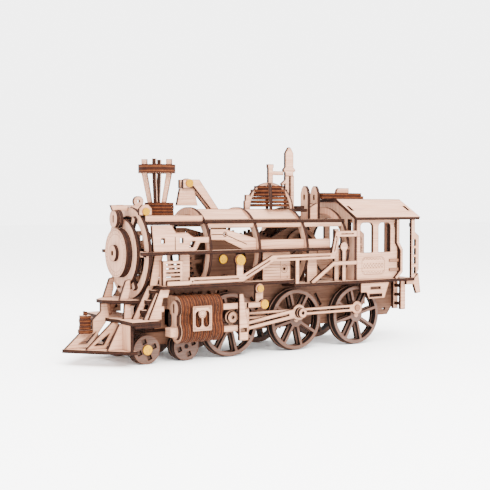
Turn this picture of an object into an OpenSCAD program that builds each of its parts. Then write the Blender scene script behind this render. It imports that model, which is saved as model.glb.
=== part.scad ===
// Plywood steam locomotive, a spring-driven construction kit that stands free on its wheels.
// Millimetres. +Z is up, the smokebox faces -X and the origin lies under the middle of the model.
// "Station" means a place along the engine, measured back from the front driving axle.

/* [Plywood] */
// Thickness of the sheets
ply = 3; // [2.9:0.05:3.05]

/* [Running gear] */
// Radius of the driving wheels over the flange
drive_r = 29; // [28:0.5:29]
// Distance from one driving axle to the next
axle_pitch = 72.25; // [71.5:0.25:73]
// Distance from the centre plane to the outer face of the driving wheels
wheel_face = 36.5; // [36.3:0.1:36.5]
// Radius of the leading wheels
bogie_r = 12.7; // [12.2:0.1:12.7]
// Throw of the cranks
crank_r = 7.5; // [6.5:0.5:7.5]
// Angle of the left cranks from straight back; the right ones stand a quarter turn on
crank_angle = 104; // [90:2:110]
// Radius of the axle dowels
axle_r = 2.5; // [2:0.25:2.5]
// Radius of the crank pins and gear shafts
pin_r = 2; // [1.8:0.1:2]
// Radial clearance of each turning fit
fit_gap = 0.05; // [0.04:0.01:0.08]

/* [Gear train] */
// Gear module
gear_m = 1.5; // [1.5:0.1:1.5]

/* [Boiler] */
// Height of the boiler's axis
boiler_z = 93; // [92:0.5:93.5]
// Outer radius of the boiler hoops
boiler_r = 40; // [39.5:0.5:40.5]
// Width of the hoop wood
hoop_w = 7; // [6:0.5:7]

/* [Cab] */
// Height of the cab's eaves
eaves_z = 122.5; // [121:0.5:123]
// Height of the flat roof panel's top
roof_z = 141; // [140:0.5:142]

/* [Hidden] */
$fn = 64;
tip_station = -145;                       // point of the pilot
tail_station = 225;                       // end of the rear brackets
origin_shift = -(tip_station + tail_station) / 2;

axles = [0, axle_pitch, 2 * axle_pitch];
axle_z = 28;                              // heights above the drawing level, which lies
lift = drive_r - axle_z;                  // this far above the ground
bogie_z = bogie_r - lift;
bogie_axles = [-82, -43.5];
hoops = [-24, 27.6, 81.4, 130];
ring_x = -83.4;                           // front face of the smokebox ring

frame_y = 20;                             // inner face of the main frames
gearbox_y = 12;                           // inner face of the gearbox plates
board_y = 44;                             // outer edge of the boards
board_z = 63;                             // underside of the running boards
floor_z = 59;                             // underside of the cab floor
floor_x = 65;                             // station where the cab floor starts
side_y = 50;                              // outer face of the cylinders
rod_y = wheel_face + 0.4;                 // inner face of the coupling rods
main_y = rod_y + ply + 0.3;               // inner face of the main rods
guide_y = main_y + ply + 0.2;             // inner face of the slide bars
yoke_y = guide_y + ply;                   // inner face of the guide yokes
wheel_in = wheel_face - 3 * ply;          // inner face of the driving wheels
bogie_in = 21;                            // inner face of the leading wheels
wrist_z = 26;                             // height of the crosshead pins
main_rod_len = 63;
side_rail_z = 91.9;                       // underside of the boiler's side rails
top_rail_z = 118.5;                       // underside of its upper rails
top_rail_y = [25, 32];                    // inner and outer edges of the upper rails
rails_end = 112;                          // rear end of the side rails
smoke_deck_z = 125.5;                     // top of the smokebox deck
cab_x = 139;                              // front face of the cab's front wall
cab_end = 194;                            // rear end of the cab's side walls
cab_y = 37;                               // inner face of the cab's side walls
glue = 0.01;                              // each sheet's share of a glue line

// Gear train: teeth, and places worked out so that each pair is in mesh
axle_teeth = 16;
transfer_teeth = 20;
centre_teeth = 36;
centre_pinion_teeth = 16;
barrel_teeth = 40;
governor_teeth = 26;
train_y = -4;                             // near side layer of the plain train gears
barrel_y = -8;                            // near side layer of the barrel's great wheel
axle_gear_at = [axles[1], axle_z];
centre_at = [46, 84];
transfer_at = meet(axle_gear_at, gap_of(axle_teeth, transfer_teeth),
                   centre_at, gap_of(transfer_teeth, centre_teeth));
barrel_at = centre_at + gap_of(barrel_teeth, centre_pinion_teeth) * [cos(178), sin(178)];
governor_at = centre_at + gap_of(centre_teeth, governor_teeth) * [cos(11), sin(11)];
axle_phase = 0;                           // turn of each gear that puts its teeth in mesh
transfer_phase = mesh(axle_teeth, axle_phase, axle_gear_at, transfer_teeth, transfer_at);
centre_phase = mesh(transfer_teeth, transfer_phase, transfer_at, centre_teeth, centre_at);
governor_phase = mesh(centre_teeth, centre_phase, centre_at, governor_teeth, governor_at);
barrel_phase = mesh(centre_pinion_teeth, 0, centre_at, barrel_teeth, barrel_at);

// ---------- geometry helpers ----------

function gap_of(n1, n2) = (n1 + n2) * gear_m / 2;
function heading(a, b) = atan2(b[1] - a[1], b[0] - a[0]);

// The point at distance ra from a and rb from b, on the rear side of the line from a to b
function meet(a, ra, b, rb) =
    let (d = norm(b - a), u = (b - a) / d, k = (ra * ra - rb * rb + d * d) / (2 * d),
         h = sqrt(ra * ra - k * k))
    a + k * u + h * [u[1], -u[0]];

// Turn of the gear at b that puts a gap of it over a tooth of the gear at a
function mesh(na, phase_a, a, nb, b) =
    let (t = heading(a, b))
    t + 180 - (360 / nb) * (0.5 - na * (t - phase_a) / 360);

function crank_turn(side) = crank_angle + (side > 0 ? 90 : 0);
function crank_at(axle_x, side) =
    [axle_x + crank_r * cos(crank_turn(side)), axle_z + crank_r * sin(crank_turn(side))];
function wrist_at(side) =
    let (p = crank_at(axles[1], side), rise = p[1] - wrist_z)
    [p[0] - sqrt(main_rod_len * main_rod_len - rise * rise), wrist_z];

// Everything below is drawn in stations and moved to the model's own origin by this
module placed() translate([origin_shift, 0, lift]) children();
module both_sides() { children(); mirror([0, 1, 0]) children(); }

// An outline from the points of its right half, mirrored over X = 0
function mirrored(half) = [each half, for (i = [len(half) - 1 : -1 : 0]) [-half[i][0], half[i][1]]];

// Flat plates: across Y (drawn in X, Z), across X (drawn in Y, Z) and across Z (drawn in X, Y)
module xz(y, t = ply) translate([0, y + t - glue, 0]) rotate([90, 0, 0])
    linear_extrude(t - 2 * glue) children();
module yz(x, t = ply) translate([x + glue, 0, 0]) rotate([90, 0, 90])
    linear_extrude(t - 2 * glue) children();
module xy(z, t = ply) translate([0, 0, z + glue]) linear_extrude(t - 2 * glue) children();
// An XZ plate whose inner face is at distance y from the centre plane, left (-1) or right (+1)
module side_plate(side, y, t = ply) xz(side > 0 ? y : -y - t, t) children();
module shaft(at, r, y0, y1) translate([at[0], y1, at[1]]) rotate([90, 0, 0]) cylinder(r = r, h = y1 - y0);

module box2(x0, y0, x1, y1) translate([x0, y0]) square([x1 - x0, y1 - y0]);
module slab(x0, y0, z0, x1, y1, z1) translate([x0, y0, z0]) cube([x1 - x0, y1 - y0, z1 - z0]);
module ring2(ro, ri) difference() { circle(ro); circle(ri); }
module at2(p) translate([p[0], p[1]]) children();
module strip(a, b, w) at2(a) rotate(heading(a, b)) translate([0, -w / 2]) square([norm(b - a), w]);
// A strip of width w along a path, with mitred corners
function unit(v) = v / norm(v);
function left_of(v) = [-v[1], v[0]];
function edge_at(p, i, w) =
    let (j = max(i, 1), k = min(i, len(p) - 2), n = left_of(unit(p[j] - p[j - 1])),
         m = left_of(unit(p[k + 1] - p[k])))
    p[i] + (n + m) * w / 2 / (1 + n * m);
module band(points, w) polygon([
    for (i = [0 : len(points) - 1]) edge_at(points, i, w),
    for (i = [len(points) - 1 : -1 : 0]) edge_at(points, i, -w)]);
module spokes(n, r0, r1, w, turn = 0)
    for (i = [0 : n - 1]) rotate(turn + i * 360 / n) translate([r0, -w / 2]) square([r1 - r0, w]);

// Gear outline, four points a tooth
module gear2(n, phase) {
    r = n * gear_m / 2;
    tip = r + 0.85 * gear_m;
    root = r - 1.2 * gear_m;
    half = 90 / n;
    polygon([for (i = [0 : n - 1]) let (c = phase + i * 360 / n)
        each [root * [cos(c - 1.28 * half), sin(c - 1.28 * half)],
              tip * [cos(c - 0.36 * half), sin(c - 0.36 * half)],
              tip * [cos(c + 0.36 * half), sin(c + 0.36 * half)],
              root * [cos(c + 1.28 * half), sin(c + 1.28 * half)]]]);
}
module gear_plate(n, phase, at, bore = pin_r + glue, arms = 0) at2(at) {
    r = n * gear_m / 2;
    rim = r - 5.5;
    difference() {
        gear2(n, phase);
        if (arms > 0) circle(rim);
        else circle(bore);
    }
    if (arms > 0) difference() {
        union() {
            circle(bore + 4);
            spokes(arms, bore + 2, rim + 1, 3.4, phase);
        }
        circle(bore);
    }
}

// ---------- chassis ----------

module frame_outline() polygon([
    [-72, 44], [-72, board_z], [floor_x, board_z], [floor_x, floor_z], [208, floor_z], [208, 48],
    [203, 44], [202, 32], [196, 24], [184, 24], [178, 40], [166, 46], [156, 20], [-12, 20], [-20, 44]]);

module main_frames() color("BurlyWood") placed() both_sides() xz(frame_y) difference() {
    frame_outline();
    for (x = axles) at2([x, axle_z]) circle(axle_r + fit_gap);
    for (i = [0 : 7]) translate([-62 + 9 * i, 54]) square([4, 4]);
    for (x = [22, 30, 96, 104]) strip([x, 50], [x + 7, 38], 3.2);
    at2([192, 30]) circle(1.5);
}

module cross_members() color("Tan") placed() {
    for (x = [-70, -26, 150, 198]) yz(x) translate([-frame_y, 47]) square([2 * frame_y, 11]);
    both_sides() for (p = [[-6, 58], [56, 24], [90, 24], [90, 54]])
        shaft(p, 2.5, gearbox_y + ply, frame_y);
}

module gearbox_plates() color("Wheat") placed() both_sides() xz(gearbox_y) difference() {
    polygon([[-12, 55], [-16, 80], [-10, 102], [8, 106], [26, 98], [44, 106], [58, 104], [78, 114],
             [100, 114], [110, 102], [108, 86], [98, 74], [96, 20], [50, 20], [46, 52]]);
    at2(axle_gear_at) circle(axle_r + fit_gap);
    for (p = [transfer_at, centre_at, barrel_at, governor_at]) at2(p) circle(pin_r + fit_gap);
    for (p = [[6, 66], [26, 70], [24, 88], [66, 92]]) at2(p) circle(5.5);
    for (p = [[62, 42], [86, 42]]) at2(p) circle(4.5);
}

module bogie_frames() color("BurlyWood") placed() {
    both_sides() xz(14) difference() {
        polygon([[-94, 8], [-96, 17], [-84, 24], [-40, 24], [-28, 17], [-30, 8], [-52, 8], [-56, 13],
                 [-68, 13], [-72, 8]]);
        for (x = bogie_axles) at2([x, bogie_z]) circle(pin_r + fit_gap);
    }
    xy(24) box2(-76, -17, -48, 17);
    for (y = [-frame_y, frame_y - ply]) slab(-66, y, 27, -58, y + ply, 47);
    xy(27) box2(-68, -frame_y, -56, -frame_y + ply);
    xy(27) box2(-68, frame_y - ply, -56, frame_y);
}

// ---------- pilot and front end ----------

pilot_tip = [tip_station, 0];
pilot_corner = [-103, 44.5];
deck_z = 34.7;
deck_y = 49;                              // outer edge of the pilot deck
deck_end = -77;                           // and its rear edge
fin_ys = [0, 14, 28];
fin_feet = [for (y = fin_ys) pilot_tip[0] + (pilot_corner[0] - pilot_tip[0]) * y / pilot_corner[1]];

module pilot_base() color("Tan") placed() xy(10) difference() {
    polygon([pilot_tip, [pilot_corner[0], -pilot_corner[1]], [-96.5, -pilot_corner[1]],
             [-96.5, pilot_corner[1]], pilot_corner]);
    polygon([[-132, 0], [-108, -21], [-104, -21], [-104, 21], [-108, 21]]);
}

module fin(foot, top_x, w) difference() {
    polygon([[foot, 13], [foot + w, 13], [foot + w + 3, 19], [top_x + 6, deck_z], [top_x - 2, deck_z]]);
    polygon([[foot + 11, 17], [foot + w - 3, 17], [top_x + 1, 27]]);
}
module pilot_fins() color("Wheat") placed() {
    xz(-ply / 2) difference() {
        polygon([[fin_feet[0] + 2, 13], [fin_feet[0] + 24, 13], [-102, 38], [-104, 50.5],
                 [-110, 50.5], [-110, 43]]);
        box2(-131, 25.4, -117.6, 45);
        polygon([[-131, 16.5], [-123, 16.5], [-114, 26], [-120, 23]]);
    }
    both_sides() {
        xz(fin_ys[1] - ply / 2) difference() {
            polygon([[fin_feet[1] + 2, 13], [fin_feet[1] + 20, 13], [-99, deck_z], [-106, deck_z]]);
            polygon([[fin_feet[1] + 9, 16], [fin_feet[1] + 18, 16], [-108, 26]]);
        }
        xz(fin_ys[2] - ply / 2)
            polygon([[fin_feet[2] + 2, 13], [-100, 13], [-99, deck_z], [-105.5, deck_z]]);
        yz(pilot_corner[0]) box2(29.5, 13, pilot_corner[1], deck_z);
    }
}

module pilot_deck() color("Tan") placed() {
    xy(deck_z) difference() {
        polygon([[-106, -13], [-103, -18], [-103, -deck_y], [deck_end, -deck_y], [deck_end, deck_y],
                 [-103, deck_y], [-103, 18], [-106, 13]]);
        box2(-111, -ply / 2 - 0.05, -101.5, ply / 2 + 0.05);
    }
    both_sides() xy(deck_z - 2.5, 2.5) box2(pilot_corner[0] + ply, 31, deck_end, deck_y);
}

module coupler_barrel() color("SaddleBrown") placed() translate([-124, 0]) {
    for (i = [0 : 3]) xy(28.5 + i * (ply + 0.01)) circle(i % 2 == 0 ? 5.3 : 5);
    for (y = [-2, 2]) translate([0, y, 28.5 + 4 * (ply + 0.01)]) cylinder(r = 1, h = 3.5);
    xy(25.5) circle(6.2);
}

module front_platform() color("Wheat") placed() {
    xy(50.5) polygon([[-111, -6], [-94, -25], [-84, -25], [-84, 25], [-94, 25], [-111, 6]]);
    both_sides() {
        xz(15) polygon([[-100, 53.5], [-92, 53.5], [-90, 62], [-90, 71], [-94, 70]]);
        xz(19) polygon([[-98, 37.7], [-90, 37.7], [-92, 50.5], [-97, 50.5]]);
    }
}

ladder_foot = [-91, deck_z + ply - 2];
ladder_head = [-69.5, 77];
module front_ladders() color("Wheat") placed() both_sides() {
    xz(25) difference() {
        strip(ladder_foot, ladder_head, 5);
        box2(-100, 20, -80, deck_z + ply);
    }
    xz(35) difference() {
        strip(ladder_foot + [5.5, 0], ladder_head + [5.5, 0], 5);
        box2(-100, 20, -70, deck_z + ply);
        box2(-90, board_z - ply, -60, 90);
        box2(-72, 50, -60, 90);
    }
    for (k = [0.2, 0.4, 0.6]) {
        p = ladder_foot + k * (ladder_head - ladder_foot);
        translate([p[0] + 0.5, 28, p[1] - 1.5]) cube([5.5, 7, ply]);
    }
    xz(38) polygon([[-84, 37.7], [-72, 37.7], [-72, 44], [-69.5, 44], [-69.5, 49], [-72, 49],
                    [-70.5, 56], [-66, 56], [-64, 63], [-73, 63]]);
}

// ---------- boiler ----------

module smokebox_ring() color("Tan") placed() {
    yz(ring_x) translate([0, boiler_z]) difference() {
        ring2(boiler_r, boiler_r - 8);
        box2(-1.5, -boiler_r - 1, 1.5, -boiler_r + 3);
        for (s = [-1, 1]) box2(s > 0 ? 36 : -42, -1.1, s > 0 ? 42 : -36, 1.9);
    }
}

module door_rings() color("Tan") placed() {
    yz(ring_x - ply) translate([0, boiler_z]) {
        ring2(26, 19);
        spokes(6, 25, 35.5, 5);
    }
    yz(ring_x - 2 * ply) translate([0, boiler_z]) ring2(29.5, 17);
}

module smokebox_door() color("AntiqueWhite") placed() {
    translate([0, 0, boiler_z]) {
        yz(ring_x - 3 * ply) ring2(21.4, 12);
        yz(ring_x - 4 * ply) circle(21.4);
        yz(ring_x - 5 * ply) difference() { circle(7.2); square(3.6, center = true); }
    }
}

lamp_z = 122.7;
lamp_x = -97.3;                           // front face of the headlight
visor_z = [129.8, 134.7];
ring_top = boiler_z + boiler_r + 0.1;
octagon_at = [-79.1, 129];                // centre of the eight-sided plates beside the lamp
module lamp_disc(x, r, hole) yz(x) translate([0, lamp_z]) difference() {
    circle(r);
    square(hole, center = true);
    box2(-ply / 2 - 0.02, visor_z[0] - lamp_z - 0.1, ply / 2 + 0.02, 20);
}
module headlight() color("Tan") placed() {
    lamp_disc(lamp_x, 7.7, [2, 6]);
    lamp_disc(lamp_x + ply, 8.1, [2, 6]);
    yz(lamp_x + 2 * ply, ring_x - 2 * ply - lamp_x - 2 * ply) translate([0, lamp_z - 3.5]) circle(3.5);
}

module lamp_bracket() color("Wheat") placed() {
    xz(-ply / 2) difference() {
        union() {
            polygon([[-100.3, visor_z[1]], [-98.3, visor_z[0]], [-84, visor_z[0]], [-84, ring_top],
                     [-79.8, ring_top], [-79.8, 130], [-69, 130], [-69, visor_z[1]]]);
            at2([-73.4, 137.8]) circle(4.8);
            box2(-75, smoke_deck_z, -71, 131);
        }
        at2([-73.4, 138]) square(2.2, center = true);
    }
    both_sides() xz(23) difference() {
        union() {
            intersection() {
                at2(octagon_at) rotate(22.5) circle(6.5, $fn = 8);
                box2(-90, smoke_deck_z + 0.4, -70, 140);
            }
            box2(-80.2, smoke_deck_z, -75.5, 127);
        }
        at2(octagon_at) circle(1.5);
    }
}

module hoop2(foot_z) difference() {
    translate([0, boiler_z]) ring2(boiler_r, boiler_r - hoop_w);
    box2(-boiler_r - 1, boiler_z - boiler_r - 1, boiler_r + 1, foot_z);
    box2(-18.5, boiler_z - boiler_r - 1, 18.5, 80);
    for (s = [-1, 1]) {
        box2(s > 0 ? top_rail_y[0] : -top_rail_y[1], top_rail_z,
             s > 0 ? top_rail_y[1] : -top_rail_y[0], top_rail_z + ply);
        box2(s > 0 ? 36 : -44, side_rail_z, s > 0 ? 44 : -36, side_rail_z + ply);
    }
}
module boiler_hoops() color("Tan") placed() for (x = hoops)
    yz(x) hoop2(x < floor_x ? board_z + ply : floor_z + ply);

module boiler_rails() color("SaddleBrown") placed() both_sides() {
    xy(side_rail_z) {
        box2(ring_x - 2 * ply, 36, rails_end, pipe_y);
        for (i = [0 : 3])
            box2(i > 0 ? hoops[i - 1] + ply : ring_x + ply, 30, i < 3 ? hoops[i] : rails_end, 36.5);
    }
    xy(top_rail_z) box2(hoops[0], top_rail_y[0], hoops[3] + ply, top_rail_y[1]);
    for (i = [0 : 2]) xz(28.5) box2(hoops[i] + ply, top_rail_z - 4.2, hoops[i + 1], top_rail_z);
}

panel_top = 131.2;                        // top of the boiler's flat panels
panel_half = 10.5;                        // half the width of the top panels
panel_lip = [panel_half + 0.2, panel_top];
panel_eave = [24.8, 121.9];
panel_in = ply * [left_of(unit(panel_eave - panel_lip))[0], left_of(unit(panel_eave - panel_lip))[1]];
module boiler_panels() color("AntiqueWhite") placed() for (i = [0 : 1]) {
    x0 = hoops[i] + ply;
    run = hoops[i + 1] - x0;
    xy(panel_top - ply) box2(x0, -panel_half, x0 + run, panel_half);
    both_sides() yz(x0, run) polygon([panel_lip, panel_eave, panel_eave - panel_in,
                                      panel_lip - [0, panel_in[1] * 1.44]]);
}

module smokebox_panels() color("AntiqueWhite") placed() {
    x0 = ring_x + ply;
    xy(smoke_deck_z - ply) box2(x0, -25, hoops[0], 25);
    both_sides() {
        xz(25) box2(x0, smoke_deck_z - 5, hoops[0], smoke_deck_z);
        xy(smoke_deck_z - 5 - ply) box2(x0, 22, hoops[0] - 3, 33.5);
        xz(36) difference() {
            polygon([[-78, side_rail_z + ply], [-80, 117.4], [-61, 117.4], [-57, 111], [-46, 111], [-40, 107],
                     [-24, 107], [-24, 102], [-33, 102],
                     [-37, side_rail_z + ply]]);
            for (x = [-71, -53]) translate([x, 102]) square([3.4, 4.4]);
            polygon([[-44, 98], [-41.5, 103.5], [-37.5, 103.5], [-40, 98]]);
        }
        xz(30) polygon([[-79, board_z + ply], [-74, side_rail_z], [-66, side_rail_z], [-72, board_z + ply]]);
        xz(30) box2(-50, board_z + ply, -40, side_rail_z);
    }
}

module lever_plates() color("Wheat") placed() both_sides() {
    xz(33.5) difference() {
        polygon([[hoops[0] + ply, 104], [hoops[0] + ply, 113.5], [-6, 113.4], [20, 106.5],
                 [hoops[1], 104.5], [hoops[1], side_rail_z + ply], [13, side_rail_z + ply], [-7, 103.6]]);
        at2([-6, 108.8]) circle(1.1);
    }
    xz(33.5) box2(hoops[1] + ply, side_rail_z + ply, hoops[2], 103.2);
    xz(33.5) box2(hoops[2] + ply, side_rail_z + ply, rails_end, 103);
}

// ---------- chimney, bell, dome, whistle ----------

chimney_x = -54.6;
rib_turn = 51;                            // turn of the first chimney rib
chimney_foot = 11.4;                      // height of the chimney's stack of base discs
collar_z = [162.9, 166.75];               // undersides of the crown's rings
collar_t = 3.8;

module chimney_base() color("SaddleBrown") placed() translate([chimney_x + 2.1, 0]) for (i = [0 : 3])
    xy(smoke_deck_z + i * chimney_foot / 4, chimney_foot / 4) difference() {
        circle(i % 2 == 0 ? 13.2 : 12.9);
        circle(4);
    }

module chimney_ribs() color("Wheat") placed() translate([chimney_x, 0, 0]) for (i = [0 : 3])
    rotate([0, 0, rib_turn + 90 * i]) xz(-ply / 2) difference() {
        polygon([[4.2, smoke_deck_z + chimney_foot], [8.4, smoke_deck_z + chimney_foot], [13.6, 163],
                 [13.6, 175.4], [8.6, 175.4], [8.6, 163]]);
        box2(12.2, collar_z[0] - 0.2, 14, collar_z[1] + collar_t + 0.25);
    }

module chimney_crown() color("SaddleBrown") placed() translate([chimney_x, 0])
    for (z = collar_z) xy(z, collar_t) ring2(16.5, 12.4);

bell_pivot = [-24.5, 154.5];
module bell() color("AntiqueWhite") placed() xz(-ply / 2) at2(bell_pivot) difference() {
    union() {
        polygon(mirrored([[7.4, -4.8], [8.3, -9], [9.6, -15], [10.8, -20.3]]));
        circle(4.4);
        box2(-3.6, -6, 3.6, 0);
    }
    circle(pin_r + fit_gap);
}

module bell_bracket() color("Wheat") placed() both_sides() {
    xz(ply / 2 + 0.4) at2(bell_pivot) difference() {
        polygon([[-6, 3.2], [10.8, 3.4], [31, panel_top - bell_pivot[1]], [23.2, panel_top - bell_pivot[1]],
                 [4.5, -2.4], [-1, -4.6], [-6, -4.6]]);
        circle(pin_r + glue);
    }
    shaft(bell_pivot, pin_r, 0, ply / 2 + 0.4 + ply);
}

dome_x = 66;
whistle_x = 89.2;                         // middle of the whistle
column_x = whistle_x - 4.7;               // front edge of the whistle's front column
column_top = 163;
dome_r = [19.8, 19.6, 19.2, 18.6, 17.8, 14.4];
dome_z = [for (i = [0 : len(dome_r) - 1]) boiler_z + boiler_r + 0.05 + 3.4 * i];
arch_r = 25.3;
arch_in = 22.6;                           // inner radius of every arch
// How far out a disc of the dome runs before it meets the arches
function arch_reach(i) = sqrt(arch_in * arch_in - pow(dome_z[i] + ply - panel_top, 2)) - 0.1;
module dome_discs() color("SaddleBrown") placed() at2([dome_x, 0])
    for (i = [0 : len(dome_r) - 1]) xy(dome_z[i]) difference() {
        circle(dome_r[i]);
        for (k = [0 : 5]) rotate(60 * k) box2(arch_reach(i), -ply / 2 - 0.02, 24, ply / 2 + 0.02);
        box2(column_x - dome_x - 0.1, -ply / 2 - 0.02, 24, ply / 2 + 0.02);
    }

module arch2(r) translate([0, panel_top + glue]) difference() {
    circle(r);
    circle(arch_in);
    box2(-r - 1, -r - 1, r + 1, 0);
}
module dome_arches() color("AntiqueWhite") placed() {
    xz(-ply / 2) difference() {
        union() {
            at2([dome_x, 0]) arch2(arch_r);
            box2(dome_x - 1.4, 155.5, dome_x + 3.8, 173.9);
            box2(dome_x - 2, 170.5, dome_x + 4.6, 173.9);
            box2(dome_x + 3, 163.6, whistle_x - 7.3, 167.4);
            box2(dome_x - 28.4, panel_top + glue, dome_x - 22.7, 139);
            box2(dome_x - 27.2, panel_top + glue, dome_x - 22.7, 144.6);
        }
        box2(column_x - 0.1, 100, whistle_x + 10, 160);
    }
    for (k = [1, 2, 4, 5]) translate([dome_x, 0, 0]) rotate(60 * k) xz(-ply / 2) intersection() {
        arch2(arch_r - 0.3);
        box2(2.65, 100, 30, 170);
    }
}

module whistle_post() color("AntiqueWhite") placed() {
    xz(-ply / 2) at2([whistle_x, column_top + 0.05])
        polygon([[0, 27.85], each mirrored([[1.4, 27.15], [4.65, 21.95], [4.65, 8.45], [7.2, 5.75],
                                            [6.3, 4.15], [4.65, 3.45], [4.65, 0]])]);
    xz(-ply / 2) {
        box2(column_x, panel_top, column_x + 4.2, column_top);
        strip([column_x + 1, 158.3], [column_x - 4.1, 154.4], 2.6);
    }
    xz(-ply / 2) box2(whistle_x + 1.5, panel_top, whistle_x + 5.5, column_top);
    xy(panel_top - ply) box2(hoops[2] + ply, -11, 103.5, 11);
}

box_xs = [108, 120];                      // front faces of the steam box's end plates
module steam_box() color("AntiqueWhite") placed() {
    for (x = box_xs) yz(x) difference() {
        polygon(mirrored([[1.6, 153.7], [4.2, 150.8], [6, 146], [6, 121]]));
        box2(-1.1, 140, 1.1, 145);
    }
    for (y = [-6, 3]) xz(y)
        polygon([[box_xs[0] + ply, 121], [box_xs[0] + ply, 132.5], [box_xs[1], 137], [box_xs[1], 121]]);
    xy(118) box2(88, -22, 130, 22);
    xy(panel_top) box2(95, -6, 103.9, 6);
}

// ---------- boards and side works ----------

module running_boards() color("BurlyWood") placed() both_sides()
    xy(board_z) box2(-72, frame_y, floor_x, board_y);

module louvre_boxes() color("Wheat") placed() both_sides() {
    xz(37) difference() {
        box2(-70, board_z + ply, -50.5, 87);
        for (i = [0 : 4]) translate([-67, 69.2 + 3.5 * i]) square([13.5, 1.3]);
    }
    for (x = [-70, -53.5]) slab(x, 33.1, board_z + ply, x + ply, 37, 87);
}

pipe_y = 41;                              // inner face of the pipe plates
post_x = 5;                               // place of the pump post's head
post_z = 86;
pipe_path = [[-46, 69.6], [8, 69.6], [41, 86.3], [110.5, 86.8], [115.5, 107.4], [cab_x, 107.4]];
module pipe_plates() color("AntiqueWhite") placed() both_sides() {
    xz(pipe_y) difference() {
        union() {
            band(pipe_path, 5.6);
            box2(-68, 66.05, -46, 69.8);
            strip([post_x, 69.6], [post_x, post_z], 7);
            at2([post_x, post_z]) circle(5);
            box2(66, floor_z + ply, 70, 86.5);
        }
        at2([post_x, post_z]) circle(1.2);
        for (i = [0 : len(pipe_path) - 2]) {
            along = unit(pipe_path[i + 1] - pipe_path[i]);
            strip(pipe_path[i] + 4 * along, pipe_path[i + 1] - 4 * along, 0.8);
        }
    }
    xz(pipe_y) difference() {
        band([[85, 62], [111, 79.5], [cab_x, 79.5]], 3.6);
        box2(80, 50, 100, floor_z + ply);
    }
}

module firebox_panels() color("Tan") placed() both_sides() {
    xz(34) difference() {
        box2(34, board_z + ply, 64.8, side_rail_z);
        at2([58, 76]) circle(1.4);
    }
    xz(34) box2(84.4, floor_z + ply, 96, side_rail_z);
    xz(38) union() {
        box2(123.5, floor_z + ply, 127.5, 92);
        at2([125.5, 95]) circle(4.4);
    }
    xz(34) difference() {
        box2(117, floor_z + ply, 122, 112);
        box2(118.5, 96, 120.5, 108);
    }
}

// ---------- cab ----------

module cab_floor() color("BurlyWood") placed() xy(floor_z) difference() {
    box2(floor_x, -board_y, 214, board_y);
    box2(floor_x - 1, -16, 124, 16);
    for (s = [-1, 1]) box2(205, s > 0 ? 30 : -36, 209, s > 0 ? 36 : -30);
}

module arched(x0, z0, x1, z1, r) {
    box2(x0, z0, x1, z1 - r);
    box2(x0 + r, z1 - r - 1, x1 - r, z1);
    for (x = [x0 + r, x1 - r]) at2([x, z1 - r]) circle(r);
}
window_z = [88.5, 117.5];                 // sill and head of the side windows
module cab_walls() color("AntiqueWhite") placed() both_sides() xz(cab_y) difference() {
    box2(cab_x + ply, floor_z + ply, cab_end, eaves_z + 0.8);
    for (x = [[146.5, 162.5], [169.5, 185]]) arched(x[0], window_z[0], x[1], window_z[1], 4);
}

roof_flat = 15;                           // half the width of the flat roof panel
roof_under = roof_z - ply - 0.1;          // top of the end walls at the flat panel
wall_out = cab_y + ply;                   // outer face of the cab's side walls
module roof_edge2() polygon(mirrored([[roof_flat, roof_under], [wall_out, eaves_z + 0.3],
                                      [wall_out, floor_z + ply]]));
module cab_front() color("Wheat") placed() {
    yz(cab_x) difference() {
        roof_edge2();
        at2([0, boiler_z]) circle(29);
        for (s = [-1, 1]) box2(s > 0 ? 29.5 : -36.5, 108, s > 0 ? 36.5 : -29.5, 121);
    }
    yz(cab_end) difference() {
        roof_edge2();
        box2(-20, floor_z + ply - 1, 20, 122);
        for (s = [-1, 1]) box2(s > 0 ? 25 : -35, 88, s > 0 ? 35 : -25, 116);
    }
}

rail_top = 120.9;                         // top of the cab's handrails
module cab_handrails() color("Wheat") placed() both_sides() {
    xz(41) difference() {
        band([[191.5, rail_top], [191.5, 98], [196.5, 90.5], [196.5, 69], [189, floor_z + ply]], 3);
        box2(180, 50, 205, floor_z + ply);
    }
    xz(41) difference() {
        polygon([[209.5, floor_z + ply], [209.5, rail_top], [214, rail_top], [214, 108], [219.5, 104],
                 [219.5, 70], [213.5, floor_z + ply]]);
        for (z = [66, 76, 85, 94]) box2(212, z, 215.4, z + 6.5);
    }
    for (z = [69.5, 78.5]) xy(z) box2(183, 40, 195, 41);
    for (x = [189.6, 209.5]) slab(x, 40, 113, x + 4, 41, 117);
    xz(38) polygon([[206, floor_z], [214, floor_z], [222, 66], [tail_station, 46.5], [219.5, 45.5],
                    [216, 55], [206, 55]]);
}

module cab_roof() color("AntiqueWhite") placed() {
    x0 = 136;
    run = 83;
    xy(roof_z - ply) box2(x0, -roof_flat, x0 + run, roof_flat);
    both_sides() difference() {
        yz(x0, run) polygon([[roof_flat + 0.1, roof_z], [roof_flat + 0.1, roof_under],
                             [45, eaves_z - 2.1], [46.4, eaves_z + 0.5]]);
        for (x = [139, 212]) slab(x, 27, 100, x + 3.2, 35, 150);
    }
}

module roof_hatch() color("SaddleBrown") placed() {
    xy(roof_z) box2(123.2, -9, 176, 9);
    xy(roof_z + ply) box2(125, -8, 174, 8);
    xz(-ply / 2) translate([147, roof_z + 2 * ply + glue])
        polygon([[0, 0], [0.8, 2.8], [3, 5], [16, 5], [16, 0]]);
}

module cab_steps() color("Wheat") placed() both_sides() {
    xz(40) difference() {
        polygon([[145, floor_z], [181, floor_z], [175, 43.5], [155, 43.5], [152, 50], [145, 50]]);
        box2(157, 52.5, 170, 55);
        box2(155.5, 45, 172, 48);
    }
    xy(45) box2(156, wheel_face + 0.5, 171.5, 40);
    slab(155, wheel_face + 0.5, 48, 158, 40, floor_z);
}

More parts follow.
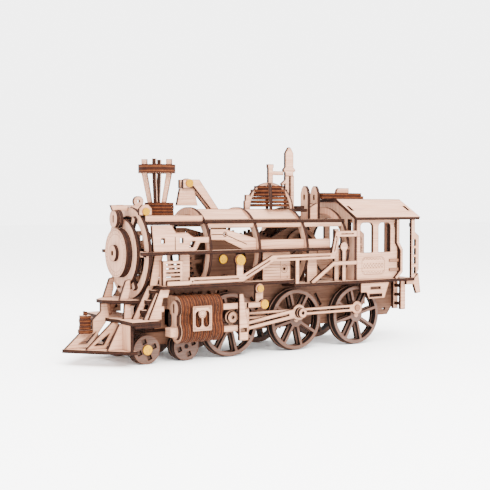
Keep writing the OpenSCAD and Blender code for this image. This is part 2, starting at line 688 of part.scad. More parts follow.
module rear_ladders() color("Wheat") placed() both_sides() {
    for (y = [24, 35]) xz(y) box2(201, 30, 207, floor_z);
    for (z = [34, 43, 52]) xy(z) box2(202, 27, 206.6, 35);
}

// ---------- cylinders and slide bars ----------

cyl_x0 = -57;
cyl_plates = 14;
cyl_low = [39.5, 26.5];                   // centres of the two round parts, as Y and Z
cyl_top = [38, 46];
module cylinder2(x, grow) difference() {
    union() {
        at2(cyl_low) circle(10.2 + grow);
        at2(cyl_top) circle(10.6 + grow);
        box2(31, 28, 47 + grow, 44);
        box2(frame_y + ply, 44, 38, 56.6 + grow);
    }
    box2(0, 0, x < -31.5 ? 33.6 : rod_y + 0.3, x < -31.5 ? 40 : 57.9);
    if (x > -31.5) box2(0, 0, 30, 70);
    if (x > cyl_x0 + 2 * ply) box2(guide_y - 0.2, wrist_z - 3, guide_y + ply - 0.1, wrist_z + 3);
}
module cylinders() color("SaddleBrown") placed() both_sides() for (i = [0 : cyl_plates - 1]) {
    x = cyl_x0 + i * ply;
    yz(x) cylinder2(x, i % 2 == 0 ? 0.4 : 0);
}

module cylinder_covers() color("Wheat") placed() both_sides() {
    yz(cyl_x0 - ply) difference() {
        union() { at2([41, 26.5]) circle(7.4); at2([41, 46]) circle(7.4); box2(36.5, 32, 45.5, 40); }
        box2(39.4, 42.5, 41.2, 50);
        box2(37.5, 24, 44.5, 26.2);
    }
    slab(cyl_x0 - ply - 6, 36.5, 22.5, cyl_x0 - ply - glue, 45.5, 30);
    xz(side_y + 0.1, 1.5) difference() {
        box2(-47.6, 26.8, -28.6, 48.4);
        for (s = [-1, 1]) difference() {
            translate([-38.1 + s * 3.9, 0]) union() {
                at2([0, 41]) circle(3);
                at2([0, 33]) circle(3);
                box2(-3, 33, 3, 41);
            }
            at2([-38.1, 41.5]) circle(3.9);
        }
    }
}

guide_z = 43;
module slide_bars() color("Wheat") placed() both_sides() {
    xz(guide_y) box2(-15, guide_z, 30, guide_z + 5.4);
    xz(guide_y) box2(20, guide_z + 5.4, 28, board_z);
    xz(yoke_y) difference() {
        polygon([[1, 15], [1, 56.3], [4.8, 56.3], [10.2, 28], [10.2, 15]]);
        box2(2.4, 22.4, 8.8, 26);
    }
    xz(yoke_y) union() {
        at2([27, 46]) circle(4.4);
        box2(10.3, guide_z + 0.6, 27, guide_z + 5);
        at2([22.5, 60.2]) circle(4.4);
    }
}

module screw_caps() color("Gold") placed() both_sides() {
    for (p = [[post_x, post_z, pipe_y + ply, 4.7], [27, 46, yoke_y + ply, 4], [22.5, 60.2, yoke_y + ply, 3.2],
              [octagon_at[0], octagon_at[1], 26, 3.3], [bell_pivot[0], bell_pivot[1], 2 * ply - 1.1, 3.6]])
        shaft([p[0], p[1]], p[3], p[2], p[2] + 1.6);
}

// ---------- running gear ----------

module rim_and_spokes(r, w, turn) {
    ring2(r, r - w);
    spokes(8, 6, r - w + 0.5, 2.6, turn);
}
module drive_wheels(axle_x) {
    c = [axle_x, axle_z];
    for (side = [-1, 1]) {
        a = crank_turn(side);
        boss = crank_at(axle_x, side);
        side_plate(side, wheel_face - ply) difference() {
            union() {
                at2(c) rim_and_spokes(drive_r - 1, 3.4, a);
                at2(c) circle(7);
                at2(boss) circle(6.2);
            }
            at2(c) circle(axle_r + glue);
            at2(boss) circle(pin_r + glue);
        }
        side_plate(side, wheel_face - 2 * ply) difference() {
            union() { at2(c) ring2(drive_r - 1, drive_r - 4); at2(c) circle(6.5); }
            at2(c) circle(axle_r + glue);
        }
        side_plate(side, wheel_in) difference() {
            union() {
                at2(c) rim_and_spokes(drive_r, 4.6, a);
                at2(c) circle(7);
            }
            at2(c) circle(axle_r + glue);
        }
        outboard = axle_x == axles[1];
        thin_cap = axle_x == axles[2];
        pin_end = outboard ? main_y + ply + 0.4 : main_y;
        shaft(boss, pin_r, side > 0 ? wheel_face - ply : -pin_end, side > 0 ? pin_end : ply - wheel_face);
        side_plate(side, pin_end, outboard ? ply : thin_cap ? 0.9 : ply - 0.2) at2(boss) difference() {
            circle(thin_cap ? 3.2 : 5);
            if (!thin_cap) rotate(45) square(2.8, center = true);
        }
        if (outboard) side_plate(side, pin_end + ply) at2(boss) difference() {
            circle(4.4);
            rotate(45) square(2.8, center = true);
        }
    }
    shaft(c, axle_r, -wheel_face, wheel_face);
}
module drive_wheels_front() color("BurlyWood") placed() drive_wheels(axles[0]);
module drive_wheels_middle() color("BurlyWood") placed() {
    drive_wheels(axles[1]);
    xz(train_y) gear_plate(axle_teeth, axle_phase, axle_gear_at, axle_r + glue);
}
module drive_wheels_rear() color("BurlyWood") placed() drive_wheels(axles[2]);

module bogie_wheels(x) {
    c = [x, bogie_z];
    for (side = [-1, 1]) {
        for (i = [0 : 2]) side_plate(side, bogie_in + i * ply) at2(c)
            ring2(bogie_r - (i == 1 ? 0.8 : 0), pin_r + glue);
        side_plate(side, bogie_in + 3 * ply) at2(c) difference() {
            circle(bogie_r - 0.3);
            circle(pin_r + glue);
            for (q = [0 : 3]) rotate(20 + 90 * q) translate([5.2, -2.1]) square(4.2);
        }
    }
    shaft(c, pin_r, -bogie_in - 4 * ply, bogie_in + 4 * ply);
    if (x == bogie_axles[0]) for (side = [-1, 1]) side_plate(side, bogie_in + 4 * ply, 1.8) at2(c)
        circle(4.2);
}
module bogie_wheels_front() color("BurlyWood") placed() bogie_wheels(bogie_axles[0]);
module bogie_wheels_rear() color("BurlyWood") placed() bogie_wheels(bogie_axles[1]);

module coupling_rod(side) side_plate(side, rod_y) difference() {
    p = [for (x = axles) crank_at(x, side)];
    union() {
        strip(p[0], p[2], 6.4);
        for (q = p) at2(q) circle(6.3);
    }
    for (q = p) at2(q) circle(pin_r + fit_gap);
    for (i = [0, 1]) strip(p[i] + [9, 0], p[i + 1] - [9, 0], 1.8);
}
module coupling_rod_left() color("Wheat") placed() coupling_rod(-1);
module coupling_rod_right() color("Wheat") placed() coupling_rod(1);

module main_rod(side) side_plate(side, main_y) difference() {
    big = crank_at(axles[1], side);
    small = wrist_at(side);
    u = (big - small) / norm(big - small);
    union() {
        hull() {
            at2(small) circle(3.8);
            at2(big - 5 * u) circle(4.2);
        }
        at2(big) circle(7.4);
    }
    at2(big) circle(pin_r + fit_gap);
    at2(small) circle(1.4);
    strip(small + 7 * u, big - 11 * u, 1.8);
}
module main_rod_left() color("Wheat") placed() main_rod(-1);
module main_rod_right() color("Wheat") placed() main_rod(1);

module crosshead(side) side_plate(side, guide_y + 0.3, ply - 0.5) {
    w = wrist_at(side);
    difference() {
        union() {
            box2(w[0] - 45, wrist_z - 2.7, w[0] - 4, wrist_z + 2.7);
            box2(w[0] - 5, wrist_z - 4, w[0] + 5, guide_z - 0.2);
        }
        at2(w) circle(1.4);
    }
}
module crosshead_left() color("Tan") placed() crosshead(-1);
module crosshead_right() color("Tan") placed() crosshead(1);

// ---------- spring drive ----------

module gear_shaft(at) shaft(at, pin_r, -gearbox_y - ply - 1, gearbox_y + ply + 1);

module spring_barrel() color("Tan") placed() {
    xz(barrel_y) gear_plate(barrel_teeth, barrel_phase, barrel_at, arms = 6);
    xz(2, 1.5) at2(barrel_at) ring2(20, pin_r + glue);
    xz(3.5, 5.5) at2(barrel_at) ring2(20, 18);
    xz(9, 1.5) at2(barrel_at) ring2(20, pin_r + glue);
    for (i = [0 : 4]) xz(3.6, 5.3) at2(barrel_at) ring2(7.5 + 2 * i, 6.9 + 2 * i);
    gear_shaft(barrel_at);
    for (s = [-1, 1]) side_plate(s, gearbox_y + ply + 1, 1.6) at2(barrel_at) circle(4);
}
module transfer_gear() color("Wheat") placed() {
    xz(train_y) gear_plate(transfer_teeth, transfer_phase, transfer_at);
    gear_shaft(transfer_at);
}
module centre_gear() color("Tan") placed() {
    xz(train_y) gear_plate(centre_teeth, centre_phase, centre_at, arms = 6);
    xz(barrel_y) gear_plate(centre_pinion_teeth, 0, centre_at);
    xz(barrel_y + ply, train_y - barrel_y - ply) at2(centre_at) ring2(5, pin_r + glue);
    gear_shaft(centre_at);
}
module governor_wheel() color("SaddleBrown") placed() {
    xz(train_y) gear_plate(governor_teeth, governor_phase, governor_at);
    xz(4) at2(governor_at) difference() {
        union() { ring2(21, 17.5); spokes(8, 4, 18, 3); circle(6); }
        circle(pin_r + glue);
    }
    outer = -gearbox_y - 2 * ply - 1.2;
    xz(outer) at2(governor_at) difference() {
        union() { ring2(19.5, 15.5); spokes(6, 4, 16, 3, 30); circle(6); }
        circle(pin_r + glue);
    }
    shaft(governor_at, pin_r, outer, gearbox_y + ply + 1);
}

main_frames();
cross_members();
gearbox_plates();
bogie_frames();
pilot_base();
pilot_fins();
pilot_deck();
coupler_barrel();
front_platform();
front_ladders();
smokebox_ring();
door_rings();
smokebox_door();
headlight();
lamp_bracket();
boiler_hoops();
boiler_rails();
boiler_panels();
smokebox_panels();
lever_plates();
chimney_base();
chimney_ribs();
chimney_crown();
bell_bracket();
bell();
dome_discs();
dome_arches();
whistle_post();
steam_box();
running_boards();
louvre_boxes();
pipe_plates();
firebox_panels();
cab_floor();
cab_walls();
cab_front();
cab_handrails();
cab_roof();
roof_hatch();
cab_steps();
rear_ladders();
cylinders();
cylinder_covers();
slide_bars();
screw_caps();
drive_wheels_front();
drive_wheels_middle();
drive_wheels_rear();
bogie_wheels_front();
bogie_wheels_rear();
coupling_rod_left();
coupling_rod_right();
main_rod_left();
main_rod_right();
crosshead_left();
crosshead_right();
spring_barrel();
transfer_gear();
centre_gear();
governor_wheel();
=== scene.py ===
"""Looks for the plywood steam locomotive: birch sheets with burnt, layered edges, engraving and brass caps.

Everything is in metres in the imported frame: +Z up, the smokebox faces -X and the near side is -Y."""

import math

import bpy
import numpy as np
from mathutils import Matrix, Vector


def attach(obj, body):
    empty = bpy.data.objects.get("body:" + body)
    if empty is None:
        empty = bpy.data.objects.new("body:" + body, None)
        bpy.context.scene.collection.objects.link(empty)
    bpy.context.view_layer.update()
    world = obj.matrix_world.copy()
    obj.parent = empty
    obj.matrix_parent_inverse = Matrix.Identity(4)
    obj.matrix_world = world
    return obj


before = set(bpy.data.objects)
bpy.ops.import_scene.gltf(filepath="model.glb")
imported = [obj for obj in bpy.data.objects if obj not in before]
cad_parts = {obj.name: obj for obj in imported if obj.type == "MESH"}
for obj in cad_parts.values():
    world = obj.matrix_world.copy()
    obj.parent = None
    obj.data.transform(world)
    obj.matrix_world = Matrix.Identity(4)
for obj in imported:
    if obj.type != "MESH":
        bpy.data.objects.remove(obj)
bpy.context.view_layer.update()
MM = 0.001
SHEET = 3 * MM            # thickness of the plywood

# ---------- camera, floor and light ----------

AZIMUTH, PITCH = math.radians(-33), math.radians(2.3)
CAMERA_AT = Vector((-0.4868, -0.7477, 0.1339))
LENS, SENSOR = 69.4, 36                # in mm
CLIP = (0.01, 20)
AIM = Vector((0, 0, 0.08))             # what the lights point at
WORLD_STRENGTH = 5.0
PAPER = (0.93, 0.93, 0.93, 1)          # colour of the floor
FLOOR_HALF = 6


def look_back(azimuth, elevation):
    """Unit vector from the object towards a camera at that azimuth and elevation, in radians."""
    return Vector((math.sin(azimuth) * math.cos(elevation), -math.cos(azimuth) * math.cos(elevation),
                   math.sin(elevation)))


def make_camera():
    data = bpy.data.cameras.new("camera")
    data.lens, data.sensor_width = LENS, SENSOR
    data.clip_start, data.clip_end = CLIP
    cam = bpy.data.objects.new("camera", data)
    cam.location = CAMERA_AT
    cam.rotation_mode = "QUATERNION"
    cam.rotation_quaternion = (-look_back(AZIMUTH, PITCH)).to_track_quat("-Z", "Y")
    bpy.context.scene.collection.objects.link(cam)
    bpy.context.scene.camera = cam


def area_light(name, azimuth, elevation, distance, size, watts, colour=(1, 1, 1)):
    """A square softbox that shines on the middle of the model."""
    data = bpy.data.lights.new(name, "AREA")
    data.shape, data.size, data.energy, data.color = "SQUARE", size, watts, colour
    lamp = bpy.data.objects.new(name, data)
    back = look_back(math.radians(azimuth), math.radians(elevation))
    lamp.location = AIM + distance * back
    lamp.rotation_mode = "QUATERNION"
    lamp.rotation_quaternion = (-back).to_track_quat("-Z", "Y")
    bpy.context.scene.collection.objects.link(lamp)


def make_studio():
    world = bpy.data.worlds.new("studio")
    world.use_nodes = True
    background = world.node_tree.nodes["Background"]
    background.inputs["Color"].default_value = (1, 1, 1, 1)
    background.inputs["Strength"].default_value = WORLD_STRENGTH
    bpy.context.scene.world = world
    area_light("key", -12, 42, 1.3, 0.6, 48, (1, 0.985, 0.96))
    area_light("top", -20, 85, 1.2, 0.9, 20)

    mesh = bpy.data.meshes.new("floor")
    corners = [(x * FLOOR_HALF, y * FLOOR_HALF, 0) for x, y in ((-1, -1), (1, -1), (1, 1), (-1, 1))]
    mesh.from_pydata(corners, [], [(0, 1, 2, 3)])
    floor = bpy.data.objects.new("floor", mesh)
    bpy.context.scene.collection.objects.link(floor)
    paper = bpy.data.materials.new("floor_paper")
    paper.use_nodes = True
    shader = paper.node_tree.nodes["Principled BSDF"]
    shader.inputs["Base Color"].default_value = PAPER
    shader.inputs["Roughness"].default_value = 0.9
    mesh.materials.append(paper)


# ---------- materials ----------

class Nodes:
    """A short way to wire up a material's node tree."""

    def __init__(self, name, metallic=0.0, roughness=0.6):
        self.material = bpy.data.materials.new(name)
        self.material.use_nodes = True
        self.tree = self.material.node_tree
        self.shader = self.tree.nodes["Principled BSDF"]
        self.shader.inputs["Metallic"].default_value = metallic
        self.shader.inputs["Roughness"].default_value = roughness
        self.shader.inputs["Specular IOR Level"].default_value = 0.5 if metallic else 0.1

    def add(self, kind, inputs=(), **settings):
        node = self.tree.nodes.new("ShaderNode" + kind)
        for key, value in settings.items():
            setattr(node, key, value)
        for key, value in dict(inputs).items():
            self.feed(node.inputs[key], value)
        return node

    def feed(self, socket, value):
        if hasattr(value, "is_output"):
            self.tree.links.new(value, socket)
        else:
            socket.default_value = value

    def where(self, scale, wobble=0.0):
        """Object coordinates times a scale per axis, in features a metre."""
        at = self.add("TexCoord").outputs["Object"]
        if wobble:
            drift = self.add("TexNoise", {"Vector": at, "Scale": 14.0, "Detail": 1.0}).outputs["Color"]
            drift = self.add("VectorMath", {0: drift, 1: (0.5, 0.5, 0.5)}, operation="SUBTRACT").outputs[0]
            drift = self.add("VectorMath", {0: drift, 3: wobble}, operation="SCALE").outputs[0]
            at = self.add("VectorMath", {0: at, 1: drift}, operation="ADD").outputs[0]
        return self.add("VectorMath", {0: at, 1: scale}, operation="MULTIPLY").outputs[0]

    def noise(self, vector, detail=3.0, rough=0.5):
        return self.add("TexNoise", {"Vector": vector, "Scale": 1.0, "Detail": detail,
                                     "Roughness": rough}).outputs["Fac"]

    def ramp(self, value, stops):
        """Colours along a value; each stop is a place and its colour."""
        node = self.add("ValToRGB", {"Fac": value})
        elements = node.color_ramp.elements
        for k, (place, colour) in enumerate(stops):
            stop = elements[k] if k < 2 else elements.new(place)
            stop.position = place
            stop.color = (*colour, 1)
        return node.outputs["Color"]

    def mix(self, factor, a, b, blend="MIX"):
        node = self.add("Mix", data_type="RGBA", blend_type=blend)
        self.feed(node.inputs[0], factor)
        self.feed(node.inputs[6], a)
        self.feed(node.inputs[7], b)
        return node.outputs[2]

    def math(self, operation, a, b):
        return self.add("Math", {0: a, 1: b}, operation=operation).outputs[0]

    def attribute(self, name):
        return self.add("Attribute", attribute_name=name).outputs["Fac"]

    def bump(self, height, strength, depth_mm):
        node = self.add("Bump", {"Height": height, "Strength": strength, "Distance": depth_mm * MM})
        self.feed(self.shader.inputs["Normal"], node.outputs["Normal"])


GRAIN_ALONG, GRAIN_ACROSS = 22.0, 900.0      # streaks a metre
FIGURE_ALONG, FIGURE_ACROSS = 9.0, 95.0      # broad growth figure
PORES_ALONG, PORES_ACROSS = 160.0, 2600.0    # fine flecks
SCORCHED = (0.075, 0.024, 0.010, 1)          # the browned rim by a cut
RIM_WIDTH = 1.3 * MM


def along_axis(axis, along, across):
    return tuple(along if k == axis else across for k in range(3))


def sheet_face(name, axis, light, dark, scorch=0.8):
    """The sawn face of a birch sheet, with grain along an axis and a browned rim by each cut."""
    n = Nodes(name, roughness=0.62)
    streaks = n.noise(n.where(along_axis(axis, GRAIN_ALONG, GRAIN_ACROSS), 0.003), 4.0, 0.6)
    figure = n.noise(n.where(along_axis(axis, FIGURE_ALONG, FIGURE_ACROSS), 0.02), 3.0, 0.55)
    pores = n.noise(n.where(along_axis(axis, PORES_ALONG, PORES_ACROSS)), 1.0, 0.4)
    colour = n.ramp(streaks, [(0.3, dark), (0.62, light)])
    warm = tuple(c * k for c, k in zip(light, (0.97, 0.86, 0.76)))
    colour = n.mix(n.ramp(figure, [(0.42, (0, 0, 0)), (0.72, (0.6, 0.6, 0.6))]), colour, (*warm, 1))
    fleck = n.ramp(pores, [(0.66, (0, 0, 0)), (0.76, (0.35, 0.35, 0.35))])
    colour = n.mix(fleck, colour, tuple(c * 0.55 for c in dark) + (1,))
    tone = n.ramp(n.attribute("tone"), [(0.0, (0.86, 0.82, 0.78)), (0.5, (0.97, 0.95, 0.94)), (1.0, (1, 1, 1))])
    colour = n.mix(1.0, colour, tone, "MULTIPLY")
    rim = n.add("AmbientOcclusion", {"Distance": RIM_WIDTH}, inside=True, only_local=True, samples=6)
    burn = n.ramp(rim.outputs["AO"], [(0.45, (scorch,) * 3), (0.94, (0, 0, 0))])
    colour = n.mix(burn, colour, SCORCHED)
    n.feed(n.shader.inputs["Base Color"], colour)
    n.feed(n.shader.inputs["Roughness"], n.ramp(streaks, [(0.3, (0.72,) * 3), (0.7, (0.56,) * 3)]))
    n.bump(n.math("ADD", streaks, n.math("MULTIPLY", pores, 0.6)), 0.35, 0.08)
    return n.material


def sheet_edge(name, burnt, core, rim):
    """The laser-cut edge of a sheet: veneers and glue lines across its thickness, charred unevenly along it."""
    n = Nodes(name, roughness=0.8)
    depth = n.attribute("depth")
    veneers = n.ramp(depth, [(0.0, rim), (0.07, burnt), (0.29, burnt), (0.335, rim), (0.37, core), (0.63, core),
                             (0.665, rim), (0.71, burnt), (0.93, burnt), (1.0, rim)])
    blotch = n.noise(n.where((240.0, 240.0, 240.0)), 3.0, 0.6)
    fine = n.noise(n.where((2400.0, 2400.0, 2400.0)), 2.0, 0.6)
    shade = n.ramp(blotch, [(0.32, (0.62, 0.58, 0.55)), (0.68, (1.35, 1.3, 1.22))])
    colour = n.mix(1.0, veneers, shade, "MULTIPLY")
    grit = n.ramp(fine, [(0.35, (0.75, 0.75, 0.75)), (0.65, (1.12, 1.12, 1.12))])
    colour = n.mix(1.0, colour, grit, "MULTIPLY")
    n.feed(n.shader.inputs["Base Color"], colour)
    n.bump(fine, 0.5, 0.12)
    return n.material


def brass():
    n = Nodes("satin_brass", metallic=1.0, roughness=0.28)
    brushed = n.noise(n.where((900.0, 900.0, 900.0)), 3.0, 0.5)
    n.feed(n.shader.inputs["Base Color"], n.ramp(brushed, [(0.3, BRASS_DARK), (0.7, BRASS)]))
    n.feed(n.shader.inputs["Roughness"], n.ramp(brushed, [(0.3, (0.34,) * 3), (0.7, (0.22,) * 3)]))
    n.bump(brushed, 0.2, 0.05)
    return n.material


BRASS, BRASS_DARK = (0.46, 0.235, 0.009), (0.33, 0.155, 0.004)
BIRCH, BIRCH_DARK = (0.45, 0.262, 0.178), (0.24, 0.115, 0.07)
# Painted shade: birch darkened to about a quarter, for the frames, gear plates and other parts that sit in
# shade under the boiler and running boards.
PAINTED_SHADE_BIRCH, PAINTED_SHADE_BIRCH_DARK = (0.105, 0.052, 0.033), (0.058, 0.026, 0.015)
WHEEL, WHEEL_DARK = (0.098, 0.060, 0.048), (0.052, 0.029, 0.022)
BURNT, CORE, RIM = (0.011, 0.0030, 0.0014), (0.022, 0.0068, 0.0028), (0.003, 0.001, 0.0006)
WHEEL_BURNT, WHEEL_CORE, WHEEL_RIM = (0.006, 0.0028, 0.002), (0.010, 0.0045, 0.003), (0.002, 0.0012, 0.001)
STACK_BURNT, STACK_CORE, STACK_RIM = (0.026, 0.0056, 0.0016), (0.078, 0.0225, 0.0062), (0.004, 0.001, 0.0005)


# ---------- plywood on the CAD's own solids ----------

FLAT = 0.985              # cosine within which a facet counts as a sheet's face
EDGE_SLOT, DOWEL_SLOT, CAP_SLOT = 3, 4, 5    # material slots after the faces' own three


def solids_of(mesh):
    """Vertex places and facets of a mesh, with the number of the solid that each facet belongs to."""
    co = np.empty(len(mesh.vertices) * 3)
    mesh.vertices.foreach_get("co", co)
    co = co.reshape(-1, 3)
    mesh.calc_loop_triangles()
    tris = np.empty(len(mesh.loop_triangles) * 3, int)
    mesh.loop_triangles.foreach_get("vertices", tris)
    poly = np.empty(len(mesh.loop_triangles), int)
    mesh.loop_triangles.foreach_get("polygon_index", poly)
    tris = tris.reshape(-1, 3)
    _, same = np.unique(np.round(co * 1e6).astype(int), axis=0, return_inverse=True)
    joined = same.reshape(-1)[tris]
    label = np.arange(joined.max() + 1)
    while True:
        low = label[joined].min(1)
        new = label.copy()
        for k in range(3):
            np.minimum.at(new, joined[:, k], low)
        new = new[new]
        if (new == label).all():
            break
        label = new
    _, solid = np.unique(label[joined[:, 0]], return_inverse=True)
    return co, tris, poly, solid.reshape(-1)


def main_direction(normals, areas):
    """The direction, either way round, that most of a solid's surface faces."""
    turn = np.where(normals @ (0.31, 0.57, 0.76) < 0, -1, 1)[:, None]
    ways, which = np.unique(np.round(normals * turn, 2), axis=0, return_inverse=True)
    best = ways[np.argmax(np.bincount(which.reshape(-1), areas))]
    return best / np.linalg.norm(best)


def lay_plywood(node, faces, edge, dowel, seed, outer=None):
    """Gives each sheet of a CAD node its face and edge materials, its own tone and its depth across the layers.

    outer is (distance in mm, material, whether its edges are of it too) for caps beyond that distance from the
    centre plane."""
    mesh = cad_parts[node].data
    co, tris, poly, solid = solids_of(mesh)
    a, b, c = (co[tris[:, k]] for k in range(3))
    cross = np.cross(b - a, c - a)
    areas = np.linalg.norm(cross, axis=1) / 2
    normals = cross / np.maximum(2 * areas, 1e-15)[:, None]
    tone, depth = np.zeros(len(co)), np.zeros(len(co))
    slot = np.zeros(len(mesh.polygons), int)
    chance = np.random.default_rng(seed)
    for s in range(solid.max() + 1):
        mine = solid == s
        n = main_direction(normals[mine], areas[mine])
        verts = np.unique(tris[mine])
        height = co[verts] @ n
        thick = height.max() - height.min()
        tone[verts] = chance.random()
        depth[verts] = (height - height.min()) / thick
        outside = outer and np.abs(co[verts, 1]).min() > outer[0] * MM
        axis = 2 if abs(n[0]) > 0.9 else 0
        across = np.abs(normals[mine] @ n) > FLAT
        if outside and outer[2]:
            slot[poly[mine]] = CAP_SLOT
        elif thick > SHEET * 1.5:
            slot[poly[mine]] = DOWEL_SLOT
        else:
            slot[poly[mine]] = np.where(across, CAP_SLOT if outside else axis, EDGE_SLOT)
    for name, values in (("tone", tone), ("depth", depth)):
        mesh.attributes.new(name, "FLOAT", "POINT").data.foreach_set("value", values)
    mesh.materials.clear()
    for material in (*faces, edge, dowel, *([outer[1]] if outer else [])):
        mesh.materials.append(material)
    mesh.polygons.foreach_set("material_index", slot)
    mesh.update()


def dress_nodes():
    def faces_of(name, *look):
        return [sheet_face(name + "_along_" + axis, k, *look) for k, axis in enumerate("xyz")]

    birch = faces_of("birch", BIRCH, BIRCH_DARK)
    wheel = faces_of("wheel_birch", WHEEL, WHEEL_DARK, 0.7)
    painted_shade_faces = faces_of("painted_shade_birch", PAINTED_SHADE_BIRCH, PAINTED_SHADE_BIRCH_DARK, 0.7)
    edge = sheet_edge("burnt_edge", BURNT, CORE, RIM)
    stack_edge = sheet_edge("stacked_edge", STACK_BURNT, STACK_CORE, STACK_RIM)
    wheel_edge = sheet_edge("wheel_edge", WHEEL_BURNT, WHEEL_CORE, WHEEL_RIM)
    dowel = sheet_face("dowel", 1, BIRCH, BIRCH_DARK, 0.2)
    stacked = ("chimney_base", "chimney_crown", "dome_discs", "cylinders", "coupler_barrel", "roof_hatch")
    # these nodes get the darkened birch faces, which is painted shade and not a different wood
    shaded = ("main_frames", "gearbox_plates", "cross_members", "bogie_frames", "spring_barrel",
              "transfer_gear", "centre_gear", "governor_wheel")
    gold = brass()
    crank_cap = (39.9, birch[0], False)
    caps = {"bogie_wheels_front": (32.9, gold, True), "spring_barrel": (15.9, gold, True),
            "screw_caps": (0, gold, True), "drive_wheels_front": crank_cap, "drive_wheels_middle": crank_cap,
            "drive_wheels_rear": crank_cap}
    for seed, node in enumerate(sorted(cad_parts)):
        faces = wheel if "wheels" in node else painted_shade_faces if node in shaded else birch
        rim = stack_edge if node in stacked else wheel_edge if "wheels" in node else edge
        lay_plywood(node, faces, rim, dowel, seed, caps.get(node))


# ---------- engraving: burnt lines that stand a hair proud of the sheets ----------

BACK = -40                # from stations along the engine to the frame's own X, in mm
LIFT = 1                  # and from drawing heights to heights above the ground
PROUD, SUNK = 0.05, 0.10  # how far a line stands out of its sheet and lies in it, in mm
DOOR_FACE, DOOR_MIDDLE = -95.4, 93    # station of the door's front and drawing height of its centre


class Lines:
    """Collects strokes drawn on one plane and builds them as one thin piece."""

    def __init__(self):
        self.points, self.faces = [], []

    def stroke(self, a, b, width):
        """A straight line from a to b, as a flat box in (u, v, depth)."""
        a, b = np.array(a, float), np.array(b, float)
        along = (b - a) / np.linalg.norm(b - a)
        side = np.array([-along[1], along[0]]) * width / 2
        base = len(self.points)
        for depth in (-SUNK, PROUD):
            for corner in (a - side, b - side, b + side, a + side):
                self.points.append((*corner, depth))
        for quad in ((3, 2, 1, 0), (4, 5, 6, 7), (0, 1, 5, 4), (1, 2, 6, 5), (2, 3, 7, 6), (3, 0, 4, 7)):
            self.faces.append([base + k for k in quad])

    def path(self, points, width):
        for a, b in zip(points, points[1:]):
            self.stroke(a, b, width)

    def arc(self, centre, radius, start, end, width, steps=10):
        turn = [math.radians(start + (end - start) * k / steps) for k in range(steps + 1)]
        self.path([(centre[0] + radius * math.cos(t), centre[1] + radius * math.sin(t)) for t in turn], width)

    def ring(self, centre, radius, width):
        self.arc(centre, radius, 0, 360, width, 24)

    def build(self, name, material, to_frame, flip):
        mesh = bpy.data.meshes.new(name)
        faces = [f[::-1] for f in self.faces] if flip else self.faces
        mesh.from_pydata([[c * MM for c in to_frame(*p)] for p in self.points], [], faces)
        mesh.materials.append(material)
        piece = bpy.data.objects.new(name, mesh)
        bpy.context.scene.collection.objects.link(piece)
        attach(piece, "chassis")


def engrave_side(name, outer_y, draw, material):
    """Draws the same lines, in stations and heights, on the outer sheet faces of both sides."""
    for side, where in ((-1, "near"), (1, "far")):
        lines = Lines()
        draw(lines)
        lines.build(name + "_" + where, material,
                    lambda x, z, d, s=side: (x + BACK, s * (outer_y + d), z + LIFT), side > 0)


def lever_lines(lines):
    pivot = (-6, 108.8)
    lines.stroke((-20, 108.7), (-8.2, 108.7), 0.8)
    lines.ring(pivot, 2.0, 0.7)
    lines.stroke((-4.2, 107.9), (17, 99.5), 0.8)


def firebox_lines(lines):
    for k in range(6):
        lines.stroke((35, 69.4 + 2.75 * k), (53, 69.4 + 2.75 * k), 0.45)
    lines.stroke((53.6, 67.5), (53.6, 89), 0.5)
    lines.ring((58, 76), 3.6, 0.6)
    lines.ring((58, 76), 2.3, 0.4)
    for z in (68.4, 84, 88):
        lines.ring((61.5, z), 0.7, 0.4)


def cab_lines(lines):
    """A scalloped frame with a row of lozenges and small scrolls."""
    x0, x1, z0, z1, notch, w = 148.5, 177.5, 67, 84, 3.4, 0.45
    for (cx, cz), start in (((x0, z0), 0), ((x1, z0), 90), ((x1, z1), 180), ((x0, z1), 270)):
        lines.arc((cx, cz), notch, start, start + 90, w, 6)
        lines.arc((cx, cz), notch - 1.3, start, start + 90, w * 0.8, 6)
    for z in (z0, z1):
        lines.stroke((x0 + notch, z), (x1 - notch, z), w)
    for x in (x0, x1):
        lines.stroke((x, z0 + notch), (x, z1 - notch), w)
    middle = (z0 + z1) / 2
    for k in range(7):
        x = x0 + 3.2 + 3.77 * k
        lines.path([(x - 1.5, middle), (x, middle + 2.3), (x + 1.5, middle), (x, middle - 2.3),
                    (x - 1.5, middle)], w)
    for k in range(5):
        for rise, start in ((5.6, 0), (-5.6, 180)):
            lines.arc((x0 + 6.5 + 4 * k, middle + rise), 1.6, start, start + 180, w * 0.8, 6)


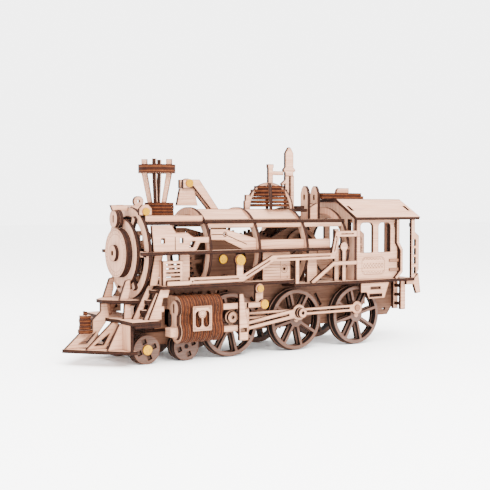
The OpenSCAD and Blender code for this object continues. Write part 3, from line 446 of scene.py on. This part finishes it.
def medallion_lines(lines):
    lines.path([(-46.2, 28.2), (-30, 28.2), (-30, 47), (-46.2, 47), (-46.2, 28.2)], 0.4)
    lines.ring((-38.1, 41.5), 3.0, 0.45)
    lines.ring((-38.1, 41.5), 1.7, 0.35)
    for x in (-45, -31.2):
        for z in (29.5, 45.8):
            lines.ring((x, z), 0.6, 0.35)


def pipe_marks(lines):
    for at in ((-43.5, 69), (113.9, 104.6)):
        lines.ring(at, 0.5, 0.9)


def step_marks(lines):
    lines.stroke((-57.6, 96), (-57.6, 107.5), 0.8)


def engrave_door(material):
    """Two fine rings and a row of tick marks round the smokebox door's front."""
    lines = Lines()
    lines.ring((0, 0), 19.8, 0.35)
    lines.ring((0, 0), 16.6, 0.3)
    for k in range(30):
        turn = math.radians(12 * k)
        lines.stroke((17.3 * math.cos(turn), 17.3 * math.sin(turn)),
                     (19.1 * math.cos(turn), 19.1 * math.sin(turn)), 0.35)
    lines.build("door_marks", material,
                lambda y, z, d: (DOOR_FACE - d + BACK, y, z + DOOR_MIDDLE + LIFT), True)


def line_material(name, roughness, dark, light):
    """Sooty wood in the bottom of an engraved line."""
    n = Nodes(name, roughness=roughness)
    soot = n.noise(n.where((1500.0, 1500.0, 1500.0)), 2.0, 0.6)
    n.feed(n.shader.inputs["Base Color"], n.ramp(soot, [(0.3, dark), (0.7, light)]))
    n.bump(soot, 0.3, 0.03)
    return n.material


def engrave():
    burnt = line_material("engraved_line", 0.85, (0.012, 0.004, 0.002), (0.03, 0.011, 0.006))
    faint = line_material("faint_line", 0.8, (0.055, 0.026, 0.015), (0.10, 0.05, 0.03))
    for name, outer_y, draw, material in (        # outer_y: the sheet's outer face, in mm from the centre plane
            ("lever_marks", 36.5, lever_lines, burnt), ("firebox_marks", 37, firebox_lines, faint),
            ("cab_marks", 40, cab_lines, faint), ("medallion_marks", 51.6, medallion_lines, faint),
            ("pipe_marks", 44, pipe_marks, burnt), ("smokebox_marks", 39, step_marks, burnt)):
        engrave_side(name, outer_y, draw, material)
    engrave_door(faint)


make_camera()
make_studio()
dress_nodes()
engrave()
